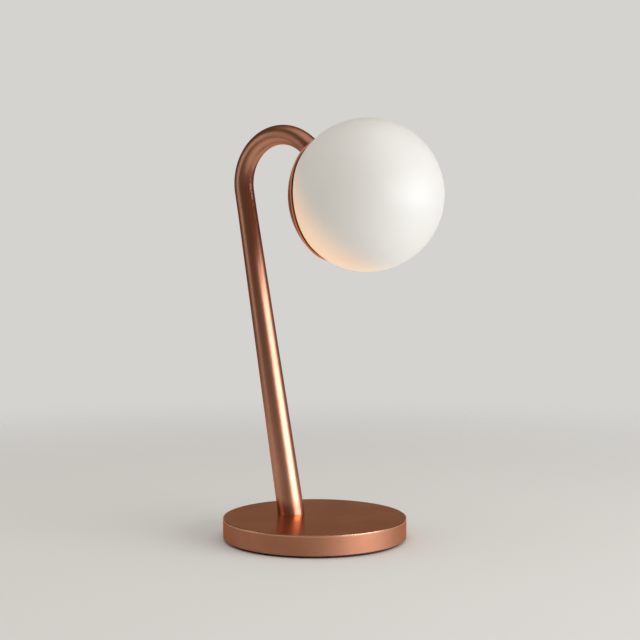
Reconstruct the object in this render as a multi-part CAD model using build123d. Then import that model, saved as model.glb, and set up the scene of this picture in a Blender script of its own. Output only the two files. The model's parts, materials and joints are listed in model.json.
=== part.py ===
from build123d import *
import math
import os

# Table lamp: a weighted round foot, a tapered stem bent over in one arc, and an opal glass
# globe that screws on in front of a thin metal dish.
# Millimetres, +Z up. The origin is the centre of the foot, on the table. The stem leans back
# towards -X, and its arc and the globe come forward towards +X, all in the plane Y = 0.

# ---------------------------------------------------------------- driving dimensions

# Foot
base_radius = 75.0
base_height = 16.3          # cover, without the pad
base_wall = 2.0
base_edge = 0.6             # rounding of the cover's outer edges
pad_thickness = 2.0
pad_inset = 3.0             # pad's edge inside the cover's edge
bottom_plate_thickness = 1.5
weight_clearance = 0.3      # weight to cover, all round
pocket_roof = 3.0           # iron left over the wiring pocket
pocket_margin = 1.0         # room round what the pocket holds
plate_screw_count = 3
plate_screw_ring = 60.0     # radius of the circle that the screws are on
plate_screw_radius = 2.0
plate_screw_length = 8.0
plate_screw_head_radius = 3.8
plate_screw_drive = 1.2     # radius and depth of the recess in the head

# Stem
stem_foot_x = -23.8
stem_lean = 10.2            # degrees back from upright
stem_length = 269.0         # straight length, foot to start of arc
stem_foot_radius = 11.0
stem_radius = 8.0
stem_wall = 1.5
stem_plain_length = 18.0    # straight length of constant radius below the arc
arch_radius = 39.6
head_dip = 34.5             # degrees below level where the arc ends, towards the globe's centre
neck_length = 11.4          # straight run from the arc to the dish

# Rod and fasteners that hold the stem to the foot
rod_radius = 5.0
rod_bore = 3.5
insert_length = 15.0
rod_in_insert = 11.0
foot_washer_radius = 9.5
foot_washer_thickness = 1.0
lock_washer_radius = 8.5
lock_washer_thickness = 0.6
foot_nut_flats = 14.0
foot_nut_thickness = 2.5
rod_past_nut = 0.3
rod_chamfer = 0.5
lock_washer_notches = 12
lock_washer_notch_width = 1.4

# Supply inlet in the rear of the foot
inlet_bore = 3.0
inlet_body = 3.9
inlet_flange = 4.6
inlet_flange_thickness = 1.2
inlet_height = 8.6          # above the table

# Terminal strip and earth
pole_count = 3
pole_pitch = 7.0
strip_length = 14.0         # along the wires
strip_height = 9.0
strip_edge = 3.5            # plastic outside the outer poles' axes
clamp_radius = 1.7
clamp_bore = 1.25
clamp_cover = 0.6           # plastic under the clamps
clamp_inset = 1.0
clamp_screw_radius = 1.1
clamp_screw_spacing = 6.0
clamp_screw_groove = 0.5    # width and depth of the driver's groove
strip_screw_radius = 1.1
strip_screw_head = 1.6
lug_plate_radius = 4.5
lug_plate_thickness = 0.8
lug_barrel_radius = 1.7
lug_barrel_length = 4.5
lug_gap = 2.0               # earth screw's axis behind the edge of the foot washer
earth_wire_run = 5.5        # along X, from the strip to the lug
earth_wire_straight = 0.4   # share of that run that is straight at each end
earth_screw_radius = 2.0
earth_screw_head = 3.6
earth_screw_head_height = 2.4
earth_screw_bite = 2.5

# Wires
wire_radius = 1.1
conductor_radius = 0.6
bare_length = 5.0
wire_spread = 1.35          # each wire's axis from the stem's axis
wire_lead = 5.0             # straight out of the strip
wire_gather = 15.5          # from the strip to where the wires run side by side
wire_bend = 4.0
wire_turn_room = 5.0        # behind the carrier plate, where the wires turn to the lampholder

# Globe and dish
globe_radius = 60.5
glass_wall = 2.5
glass_edge = 0.6            # rounding of the mouth's edges
globe_tilt = 7.0            # degrees by which the globe's axis rises towards its front
mouth_angle = 49.5          # glass mouth, half angle seen from the globe's centre
dish_wall = 1.5
dish_gap = 0.8              # air between glass and dish
dish_angle = 50.4           # dish rim, half angle

# Wire bush in the stem's upper end
bush_bore = 3.4
bush_length = 8.0
bush_flange_past = 0.9
bush_flange_thickness = 0.8

# Carrier plate with its threaded skirt, globe ring and seal
carrier_thickness = 1.2
flange_overlap = 0.9        # flange's back face behind the edge of the glass
flange_width = 2.9          # beyond the skirt
skirt_depth = 7.7
carrier_hole = 7.0
seal_thickness = 1.0
ring_thickness = 3.0
ring_lead = 1.9             # length of the ring past its thread
bond_width = 2.15           # silicone between ring and glass, at the seal
bond_length = 3.4
thread_pitch = 2.5
thread_turns = 2
pillar_count = 3
pillar_ring = 27.0
pillar_radius = 3.5
carrier_screw_radius = 1.5
carrier_screw_length = 8.0
carrier_screw_head = 2.8
carrier_screw_head_height = 1.9

# Lampholder and its bracket
holder_radius = 10.0
holder_height = 17.0
holder_recess = 4.0
pin_half_pitch = 4.5
slot_width = 3.6
slot_thickness = 2.6
contact_thickness = 0.35
contact_width = 2.8
bracket_thickness = 1.0
bracket_width = 17.0
bracket_screw_offset = 16.0
bracket_end = 4.5
bracket_tab_width = 8.0
bracket_tab_height = 9.0
bracket_screw_radius = 1.5
bracket_screw_length = 5.0
bracket_nut_flats = 5.5
bracket_nut_thickness = 2.4

# Plug-in bulb
pin_wire_radius = 0.4
pin_loop_radius = 0.9
pin_length = 11.0
pin_in_base = 3.0
bulb_base_radius = 6.8
bulb_base_length = 11.0
bulb_radius = 8.0
bulb_cover_length = 28.0
bulb_cover_wall = 1.0
board_width = 9.0
board_thickness = 1.2
board_length = 19.0
led_width = 2.8
led_length = 3.2
led_thickness = 0.7
led_rows = 4

# Fits
fit = 0.05                  # radial clearance of a seated or threaded round fit
running_fit = 0.08          # globe ring on the carrier's skirt
seat_gap = 0.02             # between curved faces that are soldered, glued or seated
slack = 0.4                 # loose hole round a wire or a screw
hole_past_screw = 1.0       # tapped hole below the end of its screw
overrun = 1.0               # shapes that cut or join run this far past the face they meet
edge_share = 0.45           # largest rounding of an edge, as a share of its wall

# ---------------------------------------------------------------- places worked out from them

base_bottom = pad_thickness
base_top = base_bottom + base_height
inner_radius = base_radius - base_wall
weight_bottom = base_bottom + bottom_plate_thickness
weight_top = base_top - base_wall
pocket_top = weight_top - pocket_roof

toward_front = Vector(1, 0, 0)
lean = math.radians(stem_lean)
dip = math.radians(head_dip)
tilt = math.radians(globe_tilt)

dish_inner = globe_radius + dish_gap
dish_outer = dish_inner + dish_wall

stem_foot = Vector(stem_foot_x, 0, base_top)
stem_direction = Vector(-math.sin(lean), 0, math.cos(lean))
arch_start = stem_foot + stem_direction * stem_length
arch_centre = arch_start + Vector(math.cos(lean), 0, math.sin(lean)) * arch_radius
neck_direction = Vector(math.cos(dip), 0, -math.sin(dip))
arch_end = arch_centre + Vector(math.sin(dip), 0, math.cos(dip)) * arch_radius
arch_turn = 90 + stem_lean + head_dip
globe_centre = arch_end + neck_direction * (neck_length + dish_outer)

# The head is drawn round the globe's centre: local Z runs along the globe's axis to its
# front, local X rises in the lamp's plane, and everything behind the centre has Z < 0.
head_axis = Vector(math.cos(tilt), 0, math.sin(tilt))
head_up = Vector(-math.sin(tilt), 0, math.cos(tilt))
head = Plane(origin=globe_centre, x_dir=head_up, z_dir=head_axis)
neck_angle = dip + tilt     # between the neck and the globe's axis

mouth_z = -globe_radius * math.cos(math.radians(mouth_angle))
rim_z = -dish_outer * math.cos(math.radians(dish_angle))
glass_inner = globe_radius - glass_wall
flange_back = mouth_z - flange_overlap
flange_front = flange_back + carrier_thickness
plate_front = flange_back + skirt_depth
plate_back = plate_front - carrier_thickness
seal_front = flange_front + seal_thickness
ring_outer = math.sqrt(glass_inner ** 2 - seal_front ** 2) - bond_width
ring_inner = ring_outer - ring_thickness
ring_length = thread_pitch * thread_turns + ring_lead
skirt_radius = ring_inner - running_fit
flange_radius = skirt_radius + flange_width
holder_back = plate_front + bracket_thickness
holder_front = holder_back + holder_height
bulb_seat = holder_front - holder_recess
cover_back = bulb_seat + bulb_base_length
pin_end = bulb_seat - pin_length
contact_back = pin_end - slack - contact_thickness

pole_places = [(pole - (pole_count - 1) / 2) * pole_pitch for pole in range(pole_count)]
strip_half_width = pole_places[-1] + strip_edge
earth_x = stem_foot_x - foot_washer_radius - lug_gap
earth_y = strip_half_width
lug_back_x = earth_x - lug_plate_radius - lug_barrel_length
strip_front_x = lug_back_x - earth_wire_run
strip_back_x = strip_front_x - strip_length
strip_low = pocket_top - strip_height
wire_level = strip_low + clamp_cover + clamp_radius
pocket_front = stem_foot_x + foot_washer_radius + pocket_margin
pocket_half_width = earth_y + lug_plate_radius + pocket_margin


# ---------------------------------------------------------------- helpers

def round_bar(radius, start, direction, length):
    """Solid round bar from a point along a direction."""
    return Solid.make_cylinder(radius, length, Plane(origin=start, z_dir=direction))


def upright(radius, low, high, x=0, y=0):
    """Solid cylinder along Z between two heights."""
    return Pos(x, y, low) * Cylinder(radius, high - low, align=(Align.CENTER, Align.CENTER, Align.MIN))


def block(x_range, y_range, z_range):
    """Box between two corners given as ranges."""
    size = [high - low for low, high in (x_range, y_range, z_range)]
    middle = [(low + high) / 2 for low, high in (x_range, y_range, z_range)]
    return Pos(*middle) * Box(*size)


def below_plane(z, reach):
    """Block that fills the space under a height."""
    return block((-reach, reach), (-reach, reach), (z - 2 * reach, z))


def hexagon(flats, low, high, x=0, y=0):
    """Hexagonal prism along Z between two heights."""
    outline = RegularPolygon(radius=flats / 2, side_count=6, major_radius=False)
    return Pos(x, y, low) * extrude(outline, amount=high - low)


def in_head(shape):
    """Move a shape drawn round the globe's centre to its place on the lamp."""
    return head.location * shape


def head_point(x, y, z):
    """Point of the head's own axes, in the lamp's axes."""
    return globe_centre + head_up * x + Vector(0, -y, 0) + head_axis * z


def neck_point(distance):
    """Point on the neck's axis, at a distance from the globe's centre, in the head's axes."""
    return (distance * math.sin(neck_angle), -distance * math.cos(neck_angle))


def save(name, shape):
    """Write one sub-part. A list of like pieces goes into one node as separate solids."""
    if isinstance(shape, list):
        shape = Compound(children=shape)
    export_step(shape, os.path.join("parts", name + ".step"))


# ---------------------------------------------------------------- foot

def make_foot_pad():
    return upright(base_radius - pad_inset, 0, pad_thickness)


def make_base_shell():
    outside = upright(base_radius, base_bottom, base_top)
    outside = fillet(outside.edges().filter_by(GeomType.CIRCLE), min(base_edge, base_wall * edge_share))
    shell = outside - upright(inner_radius, base_bottom - overrun, weight_top)
    shell -= upright(rod_radius + slack, weight_top - overrun, base_top + overrun, stem_foot_x)
    behind = Vector(-base_radius - overrun, 0, inlet_height)
    return shell - round_bar(inlet_body + fit, behind, toward_front, base_wall + 2 * overrun)


def plate_screw_places():
    return PolarLocations(plate_screw_ring, plate_screw_count)


def make_bottom_plate():
    plate = upright(inner_radius - weight_clearance, base_bottom, weight_bottom)
    countersink = Cone(
        plate_screw_head_radius + fit, plate_screw_radius + fit, bottom_plate_thickness,
        align=(Align.CENTER, Align.CENTER, Align.MIN),
    )
    for place in plate_screw_places():
        plate -= Pos(0, 0, base_bottom) * place * countersink
    return plate


def make_plate_screws():
    head_cone = Cone(
        plate_screw_head_radius, plate_screw_radius, bottom_plate_thickness,
        align=(Align.CENTER, Align.CENTER, Align.MIN),
    )
    shank = upright(plate_screw_radius, bottom_plate_thickness, plate_screw_length)
    drive = upright(plate_screw_drive, -overrun, plate_screw_drive)
    screw = head_cone + shank - drive
    return [Pos(0, 0, base_bottom) * place * screw for place in plate_screw_places()]


def make_base_weight():
    weight = upright(inner_radius - weight_clearance, weight_bottom, weight_top)
    weight -= block(
        (-base_radius, pocket_front - pocket_half_width / 2),
        (-pocket_half_width, pocket_half_width), (weight_bottom - overrun, pocket_top),
    )
    weight -= block(
        (-base_radius / 2, pocket_front),
        (-pocket_half_width / 2, pocket_half_width / 2), (weight_bottom - overrun, pocket_top),
    )
    for side in (-1, 1):
        weight -= upright(
            pocket_half_width / 2, weight_bottom - overrun, pocket_top,
            pocket_front - pocket_half_width / 2, side * pocket_half_width / 2,
        )
    weight -= upright(rod_radius + slack, weight_bottom, base_top, stem_foot_x)
    weight -= upright(earth_screw_radius + fit, pocket_top - overrun, weight_top, earth_x, earth_y)
    for x, y in strip_screw_places():
        weight -= upright(strip_screw_radius + fit, pocket_top - overrun, weight_top, x, y)
    for place in plate_screw_places():
        hole_top = base_bottom + plate_screw_length + hole_past_screw
        weight -= place * upright(plate_screw_radius + fit, weight_bottom - overrun, hole_top)
    return weight


def make_cord_grommet():
    outside = Vector(-base_radius - inlet_flange_thickness, 0, inlet_height)
    through = base_wall + 2 * inlet_flange_thickness
    inside = outside + toward_front * (through - inlet_flange_thickness)
    outer_flange = round_bar(inlet_flange, outside, toward_front, inlet_flange_thickness)
    inner_flange = round_bar(inlet_flange, inside, toward_front, inlet_flange_thickness)
    grommet = round_bar(inlet_body, outside, toward_front, through)
    grommet += outer_flange - upright(base_radius, base_bottom, base_top)
    grommet += inner_flange & upright(inner_radius, base_bottom, base_top)
    mouth = outside - toward_front * overrun
    return grommet - round_bar(inlet_bore, mouth, toward_front, through + 2 * overrun)


# ---------------------------------------------------------------- terminal strip and earth

def strip_screw_places():
    """Fixing screws stand between the poles."""
    middle = (strip_front_x + strip_back_x) / 2
    return [(middle, side * pole_pitch / 2) for side in (-1, 1)]


def clamp_screw_places():
    middle = (strip_front_x + strip_back_x) / 2
    return [(middle + side * clamp_screw_spacing / 2, y) for y in pole_places for side in (-1, 1)]


def make_terminal_block():
    strip = block(
        (strip_back_x, strip_front_x), (-strip_half_width, strip_half_width),
        (strip_low, pocket_top),
    )
    for y in pole_places:
        clamp_start = Vector(strip_back_x - overrun, y, wire_level)
        strip -= round_bar(clamp_radius + fit, clamp_start, toward_front, strip_length + 2 * overrun)
    for x, y in clamp_screw_places():
        strip -= upright(clamp_screw_radius + slack, 0, wire_level, x, y)
    for x, y in strip_screw_places():
        strip -= upright(strip_screw_radius + fit, 0, base_top, x, y)
        strip -= upright(strip_screw_head + fit, 0, strip_low + strip_screw_head, x, y)
    return strip


def make_terminal_clamps():
    clamps = []
    for y in pole_places:
        start = Vector(strip_back_x + clamp_inset, y, wire_level)
        length = strip_length - 2 * clamp_inset
        tube = round_bar(clamp_radius, start, toward_front, length)
        tube -= round_bar(clamp_bore, start, toward_front, length)
        for side in (-1, 1):
            x = (strip_front_x + strip_back_x) / 2 + side * clamp_screw_spacing / 2
            tube -= upright(clamp_screw_radius + fit, 0, wire_level, x, y)
        clamps.append(tube)
    return clamps


def make_terminal_screws():
    low = wire_level - clamp_radius - fit
    tip = wire_level - conductor_radius - fit
    screws = []
    for x, y in clamp_screw_places():
        screw = upright(clamp_screw_radius, low, tip, x, y)
        half_groove = clamp_screw_groove / 2
        groove = block(
            (x - clamp_screw_radius * 2, x + clamp_screw_radius * 2), (y - half_groove, y + half_groove),
            (low - overrun, low + clamp_screw_groove),
        )
        screws.append(screw - groove)
    return screws


def make_terminal_fixing_screws():
    screws = []
    for x, y in strip_screw_places():
        screw = upright(strip_screw_head, strip_low, strip_low + strip_screw_head, x, y)
        screws.append(screw + upright(strip_screw_radius, strip_low, pocket_top + pocket_roof / 2, x, y))
    return screws


def lug_barrel_start():
    return Vector(lug_back_x, earth_y, pocket_top - lug_barrel_radius - seat_gap)


def make_earth_lug():
    plate_low = pocket_top - lug_plate_thickness
    plate = upright(lug_plate_radius, plate_low, pocket_top, earth_x, earth_y)
    neck = block(
        (earth_x - lug_plate_radius - lug_plate_thickness, earth_x),
        (earth_y - lug_barrel_radius, earth_y + lug_barrel_radius), (plate_low, pocket_top),
    )
    barrel = round_bar(lug_barrel_radius, lug_barrel_start(), toward_front, lug_barrel_length)
    mouth = lug_barrel_start() - toward_front * overrun
    bore = round_bar(conductor_radius + fit, mouth, toward_front, lug_barrel_length)
    hole = upright(earth_screw_radius + fit, 0, base_top, earth_x, earth_y)
    return plate + neck + barrel - bore - hole


def make_earth_screw():
    head_top = pocket_top - lug_plate_thickness
    head_low = head_top - earth_screw_head_height
    screw = upright(earth_screw_head, head_low, head_top, earth_x, earth_y)
    screw += upright(earth_screw_radius, head_top, pocket_top + earth_screw_bite, earth_x, earth_y)
    slot = block(
        (earth_x - earth_screw_head * 2, earth_x + earth_screw_head * 2), (earth_y - slack, earth_y + slack),
        (head_low - overrun, head_low + earth_screw_head_height / 2),
    )
    return screw - slot


# ---------------------------------------------------------------- stem

def stem_core(foot_radius, top_radius, neck_end):
    """Round bar along the whole stem, tapered to the start of its plain length."""
    taper = stem_length - stem_plain_length
    slope = (foot_radius - top_radius) / taper
    trim = foot_radius
    foot_plane = Plane(origin=stem_foot - stem_direction * trim, z_dir=stem_direction)
    core = Solid.make_cone(foot_radius + slope * trim, top_radius, taper + trim, foot_plane)
    plain_start = stem_foot + stem_direction * taper
    core += round_bar(top_radius, plain_start, stem_direction, stem_plain_length)
    bend = Plane(origin=arch_start, z_dir=stem_direction) * Circle(top_radius)
    core += revolve(bend, axis=Axis(arch_centre, (0, 1, 0)), revolution_arc=arch_turn)
    core += round_bar(top_radius, arch_end, neck_direction, neck_end)
    return core - below_plane(base_top, base_radius * 2)


def make_stem():
    """Tapered tube. Its upper end lies flush in the dish, its foot stands flat on the cover."""
    to_dish = neck_length + dish_wall + stem_radius
    tube = stem_core(stem_foot_radius, stem_radius, to_dish)
    tube -= stem_core(stem_foot_radius - stem_wall, stem_radius - stem_wall, to_dish + overrun)
    return tube - Pos(globe_centre) * Sphere(dish_inner)


def make_foot_insert():
    """Steel plug in the stem's foot, with an upright thread for the rod."""
    bore = stem_wall + fit
    plug = stem_core(stem_foot_radius - bore, stem_radius - bore, neck_length)
    below = stem_foot - stem_direction * base_radius
    plug &= round_bar(base_radius, below, stem_direction, base_radius + insert_length)
    return plug - upright(rod_radius + fit, 0, base_top + insert_length * 2, stem_foot_x)


def foot_stack():
    """Heights under the pocket's roof: plain washer, lock washer, nut, end of rod."""
    washer = pocket_top - foot_washer_thickness
    lock = washer - lock_washer_thickness
    nut = lock - foot_nut_thickness
    return washer, lock, nut, nut - rod_past_nut


def make_foot_nipple():
    rod_end = foot_stack()[3]
    rod_top = base_top + rod_in_insert
    rod = upright(rod_radius, rod_end, rod_top, stem_foot_x)
    rod = chamfer(rod.edges().filter_by(GeomType.CIRCLE), rod_chamfer)
    return rod - upright(rod_bore, 0, rod_top + overrun, stem_foot_x)


def make_foot_washer():
    low = foot_stack()[0]
    washer = upright(foot_washer_radius, low, pocket_top, stem_foot_x)
    return washer - upright(rod_radius + slack, 0, base_top, stem_foot_x)


def make_foot_lock_washer():
    high, low = foot_stack()[:2]
    through = (low - overrun, high + overrun)
    washer = upright(lock_washer_radius, low, high) - upright(rod_radius + slack / 2, *through)
    tooth_depth = (lock_washer_radius - rod_radius) / 2
    half_width = lock_washer_notch_width / 2
    notch = block((-tooth_depth, tooth_depth), (-half_width, half_width), through)
    for place in PolarLocations(lock_washer_radius, lock_washer_notches):
        washer -= place * notch
    return Pos(stem_foot_x, 0, 0) * washer


def make_foot_nut():
    high, low = foot_stack()[1:3]
    nut = hexagon(foot_nut_flats, low, high, stem_foot_x)
    return nut - upright(rod_radius + fit, 0, base_top, stem_foot_x)


# ---------------------------------------------------------------- wires

def lamp_wire_path(pole, y):
    """Route of a wire from the strip through rod, stem and bush to the lampholder.

    It has three runs that meet in line: the pocket and straight stem, the arc, and the neck
    and dish. In the stem it keeps to one side of the plane Y = 0.
    """
    aside = Vector(0, y, 0)
    face = Vector(strip_front_x, pole_places[pole], wire_level)
    low_run = FilletPolyline(
        face,
        face + toward_front * wire_lead,
        Vector(strip_front_x + wire_gather, y, wire_level),
        Vector(stem_foot_x, y, wire_level),
        Vector(stem_foot_x, y, base_top),
        arch_start + aside,
        radius=wire_bend,
    )
    start_angle = math.pi + lean
    end_angle = math.pi / 2 - dip
    middle = (start_angle + end_angle) / 2
    arch_middle = arch_centre + Vector(math.cos(middle), 0, math.sin(middle)) * arch_radius
    arc = Edge.make_three_point_arc(arch_start + aside, arch_middle + aside, arch_end + aside)
    turn_x, turn_z = neck_point((dish_inner + skirt_radius) / 2)
    pin_y = -math.copysign(pin_half_pitch, y)
    top_run = FilletPolyline(
        arch_end + aside,
        head_point(turn_x, -y, turn_z),
        head_point(0, pin_y, plate_back - wire_turn_room),
        head_point(0, pin_y, holder_back),
        radius=wire_bend,
    )
    return Wire(low_run.edges() + [arc] + top_run.edges())


def make_lamp_wire(pole, y):
    start = Vector(strip_front_x, pole_places[pole], wire_level)
    wire = sweep(Plane(origin=start, z_dir=toward_front) * Circle(wire_radius), path=lamp_wire_path(pole, y))
    bare_end = start - toward_front * bare_length
    wire += round_bar(conductor_radius, bare_end, toward_front, bare_length + overrun)
    bare_start = head_point(0, -math.copysign(pin_half_pitch, y), holder_back - overrun)
    return wire + round_bar(conductor_radius, bare_start, head_axis, contact_back - holder_back + overrun)


def make_earth_wire():
    start = Vector(strip_front_x, pole_places[-1], wire_level)
    end = lug_barrel_start()
    straight = toward_front * earth_wire_run * earth_wire_straight
    path = Wire(FilletPolyline(start, start + straight, end - straight, end, radius=wire_radius).edges())
    wire = sweep(Plane(origin=start, z_dir=toward_front) * Circle(wire_radius), path=path)
    bare_end = start - toward_front * bare_length
    wire += round_bar(conductor_radius, bare_end, toward_front, bare_length + overrun)
    return wire + round_bar(conductor_radius, end, toward_front, lug_barrel_length - overrun)


# ---------------------------------------------------------------- dish and bush

def make_head_dish():
    dish = Sphere(dish_outer) - Sphere(dish_inner)
    dish &= below_plane(rim_z, dish_outer * 2)
    dish = in_head(dish)
    hole_start = globe_centre - neck_direction * (dish_outer + neck_length)
    dish -= round_bar(stem_radius + fit, hole_start, neck_direction, neck_length * 2)
    return dish


def bush_seat():
    """Distance of the bush's flange seat from the globe's centre."""
    flange = stem_radius - stem_wall + bush_flange_past
    return math.sqrt(dish_inner ** 2 - flange ** 2) - seat_gap


def make_wire_bush():
    body = stem_radius - stem_wall - fit
    seat = bush_seat()
    top = globe_centre - neck_direction * (seat + bush_length)
    bush = round_bar(body, top, neck_direction, bush_length)
    flange = stem_radius - stem_wall + bush_flange_past
    bush += round_bar(flange, globe_centre - neck_direction * seat, neck_direction, bush_flange_thickness)
    through = bush_length + bush_flange_thickness + 2 * overrun
    return bush - round_bar(bush_bore, top - neck_direction * overrun, neck_direction, through)


# ---------------------------------------------------------------- carrier

def pillar_places():
    return PolarLocations(pillar_ring, pillar_count, start_angle=180 / pillar_count)


def make_carrier_pillars():
    hole_end = plate_front - carrier_screw_length - hole_past_screw
    pillars = []
    for place in pillar_places():
        pillar = place * upright(pillar_radius, -dish_outer, plate_back)
        pillar &= Sphere(dish_inner - seat_gap)
        pillar -= place * upright(carrier_screw_radius + fit, hole_end, plate_back + overrun)
        pillars.append(in_head(pillar))
    return pillars


def bracket_screw_places():
    return [(0, side * bracket_screw_offset) for side in (-1, 1)]


def make_carrier_plate():
    plate = upright(skirt_radius, flange_back, plate_front)
    plate -= upright(skirt_radius - carrier_thickness, flange_back - overrun, plate_back)
    flange = upright(flange_radius, flange_back, flange_front)
    plate += flange - upright(skirt_radius - carrier_thickness, flange_back - overrun, plate_back)
    through = (plate_back - overrun, plate_front + overrun)
    plate -= upright(carrier_hole, *through)
    for place in pillar_places():
        plate -= place * upright(carrier_screw_radius + fit, *through)
    for x, y in bracket_screw_places():
        plate -= upright(bracket_screw_radius + fit, *through, x, y)
    return in_head(plate)


def pan_screw(radius, length, head_radius, head_height, seat):
    """Pan-head screw along -Z, with its head's underside at a height."""
    screw = upright(head_radius, seat, seat + head_height)
    screw = fillet(screw.edges().group_by(Axis.Z)[-1], head_height / 3)
    screw += upright(radius, seat - length, seat)
    slot_heights = (seat + head_height / 2, seat + head_height * 2)
    return screw - block((-head_radius * 2, head_radius * 2), (-slack, slack), slot_heights)


def make_carrier_screws():
    screw = pan_screw(
        carrier_screw_radius, carrier_screw_length,
        carrier_screw_head, carrier_screw_head_height, plate_front,
    )
    return [in_head(place * screw) for place in pillar_places()]


# ---------------------------------------------------------------- lampholder

def make_holder_bracket():
    half_length = bracket_screw_offset + bracket_end
    through = (plate_front - overrun, holder_back + overrun)
    bracket = block(
        (-bracket_width / 2, bracket_width / 2), (-half_length, half_length), (plate_front, holder_back))
    for side in (-1, 1):
        inner = side * (holder_radius + fit)
        outer = side * (holder_radius + fit + bracket_thickness)
        bracket += block(
            (-bracket_tab_width / 2, bracket_tab_width / 2), sorted((inner, outer)),
            (plate_front, holder_back + bracket_tab_height),
        )
        bracket -= upright(wire_radius + slack, *through, 0, side * pin_half_pitch)
    for x, y in bracket_screw_places():
        bracket -= upright(bracket_screw_radius + fit, *through, x, y)
    return in_head(bracket)


def make_bracket_screws():
    screw = pan_screw(
        bracket_screw_radius, bracket_screw_length,
        carrier_screw_head, carrier_screw_head_height, holder_back,
    )
    return [in_head(Pos(x, y, 0) * screw) for x, y in bracket_screw_places()]


def make_bracket_nuts():
    nuts = []
    nut_back = plate_back - bracket_nut_thickness
    for x, y in bracket_screw_places():
        nut = hexagon(bracket_nut_flats, nut_back, plate_back, x, y)
        nut -= upright(bracket_screw_radius + fit, nut_back - overrun, plate_back + overrun, x, y)
        nuts.append(in_head(nut))
    return nuts


def make_lampholder():
    holder = upright(holder_radius, holder_back, holder_front)
    holder = fillet(holder.edges().group_by(Axis.Z)[-1], holder_recess / 4)
    holder -= upright(bulb_base_radius + slack, bulb_seat, holder_front + overrun)
    for side in (-1, 1):
        y = side * pin_half_pitch
        half_slot = slot_width / 2
        holder -= block(
            (-slot_thickness / 2, slot_thickness / 2), (y - half_slot, y + half_slot),
            (contact_back, bulb_seat + overrun),
        )
        holder -= upright(conductor_radius + fit, holder_back - overrun, contact_back + overrun, 0, y)
    return in_head(holder)


def make_lampholder_contacts():
    """Two U-shaped springs. Each grips one wire loop of the bulb between its leaves."""
    half = contact_width / 2
    inner = pin_wire_radius + fit
    outer = inner + contact_thickness
    contacts = []
    for side in (-1, 1):
        y = side * pin_half_pitch
        spring = block((-outer, outer), (y - half, y + half), (contact_back, bulb_seat - slack))
        bridge_top = contact_back + contact_thickness
        spring -= block((-inner, inner), (y - half - overrun, y + half + overrun), (bridge_top, bulb_seat))
        contacts.append(in_head(spring))
    return contacts


# ---------------------------------------------------------------- bulb

def make_bulb_base():
    base = upright(bulb_base_radius, bulb_seat + slack, cover_back)
    base = fillet(base.edges().group_by(Axis.Z)[0], slack)
    for side in (-1, 1):
        for leg in (-1, 1):
            y = side * pin_half_pitch + leg * pin_loop_radius
            base -= upright(pin_wire_radius, bulb_seat, bulb_seat + pin_in_base, 0, y)
    return in_head(base)


def make_bulb_pins():
    """Two loops of wire, 9 mm apart, each with two legs and a round end."""
    pins = []
    leg_top = bulb_seat + pin_in_base
    leg_end = pin_end + pin_wire_radius + pin_loop_radius
    for side in (-1, 1):
        y = side * pin_half_pitch
        loop = revolve(
            Plane(origin=(0, y + pin_loop_radius, leg_end), z_dir=(0, 0, 1)) * Circle(pin_wire_radius),
            axis=Axis((0, y, leg_end), (-1, 0, 0)), revolution_arc=180,
        )
        for leg in (-1, 1):
            loop += upright(pin_wire_radius, leg_end, leg_top, 0, y + leg * pin_loop_radius)
        pins.append(in_head(loop))
    return pins


def bulb_form(radius, low):
    """Round-ended bar: the bulb's cover, or the space inside it."""
    dome = cover_back + bulb_cover_length - bulb_radius
    return upright(radius, low, dome) + Pos(0, 0, dome) * Sphere(radius)


def make_bulb_cover():
    inner = bulb_radius - bulb_cover_wall
    return in_head(bulb_form(bulb_radius, cover_back) - bulb_form(inner, cover_back - overrun))


def make_bulb_board():
    half_width = board_width / 2
    half_thickness = board_thickness / 2
    return in_head(block(
        (-half_thickness, half_thickness), (-half_width, half_width),
        (cover_back, cover_back + board_length),
    ))


def make_bulb_leds():
    """Chips in two columns on both faces of the board."""
    leds = []
    row_pitch = board_length / led_rows
    for face in (-1, 1):
        near = face * board_thickness / 2
        far = face * (board_thickness / 2 + led_thickness)
        for row in range(led_rows):
            middle = cover_back + (row + 0.5) * row_pitch
            for column in (-1, 1):
                y = column * board_width / 4
                leds.append(in_head(block(
                    sorted((near, far)), (y - led_width / 2, y + led_width / 2),
                    (middle - led_length / 2, middle + led_length / 2),
                )))
    return leds


# ---------------------------------------------------------------- globe

def make_globe():
    glass = Sphere(globe_radius) - Sphere(glass_inner)
    glass -= below_plane(mouth_z, globe_radius * 2)
    rim = glass.edges().filter_by(GeomType.CIRCLE).group_by(Axis.Z)[0]
    return in_head(fillet(rim, min(glass_edge, glass_wall * edge_share)))


def make_globe_seal():
    seal = upright(flange_radius, flange_front, seal_front)
    return in_head(seal - upright(ring_inner, flange_front - overrun, seal_front + overrun))


def make_globe_ring():
    ring_front = seal_front + ring_length
    ring = upright(ring_outer, seal_front, ring_front)
    return in_head(ring - upright(ring_inner, seal_front - overrun, ring_front + overrun))


def make_globe_bond():
    """Silicone between the ring and the inside of the glass."""
    bond_front = seal_front + bond_length
    bead = Sphere(glass_inner - seat_gap) & upright(globe_radius, seal_front, bond_front)
    return in_head(bead - upright(ring_outer + seat_gap, seal_front - overrun, bond_front + overrun))


# ---------------------------------------------------------------- build

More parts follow.
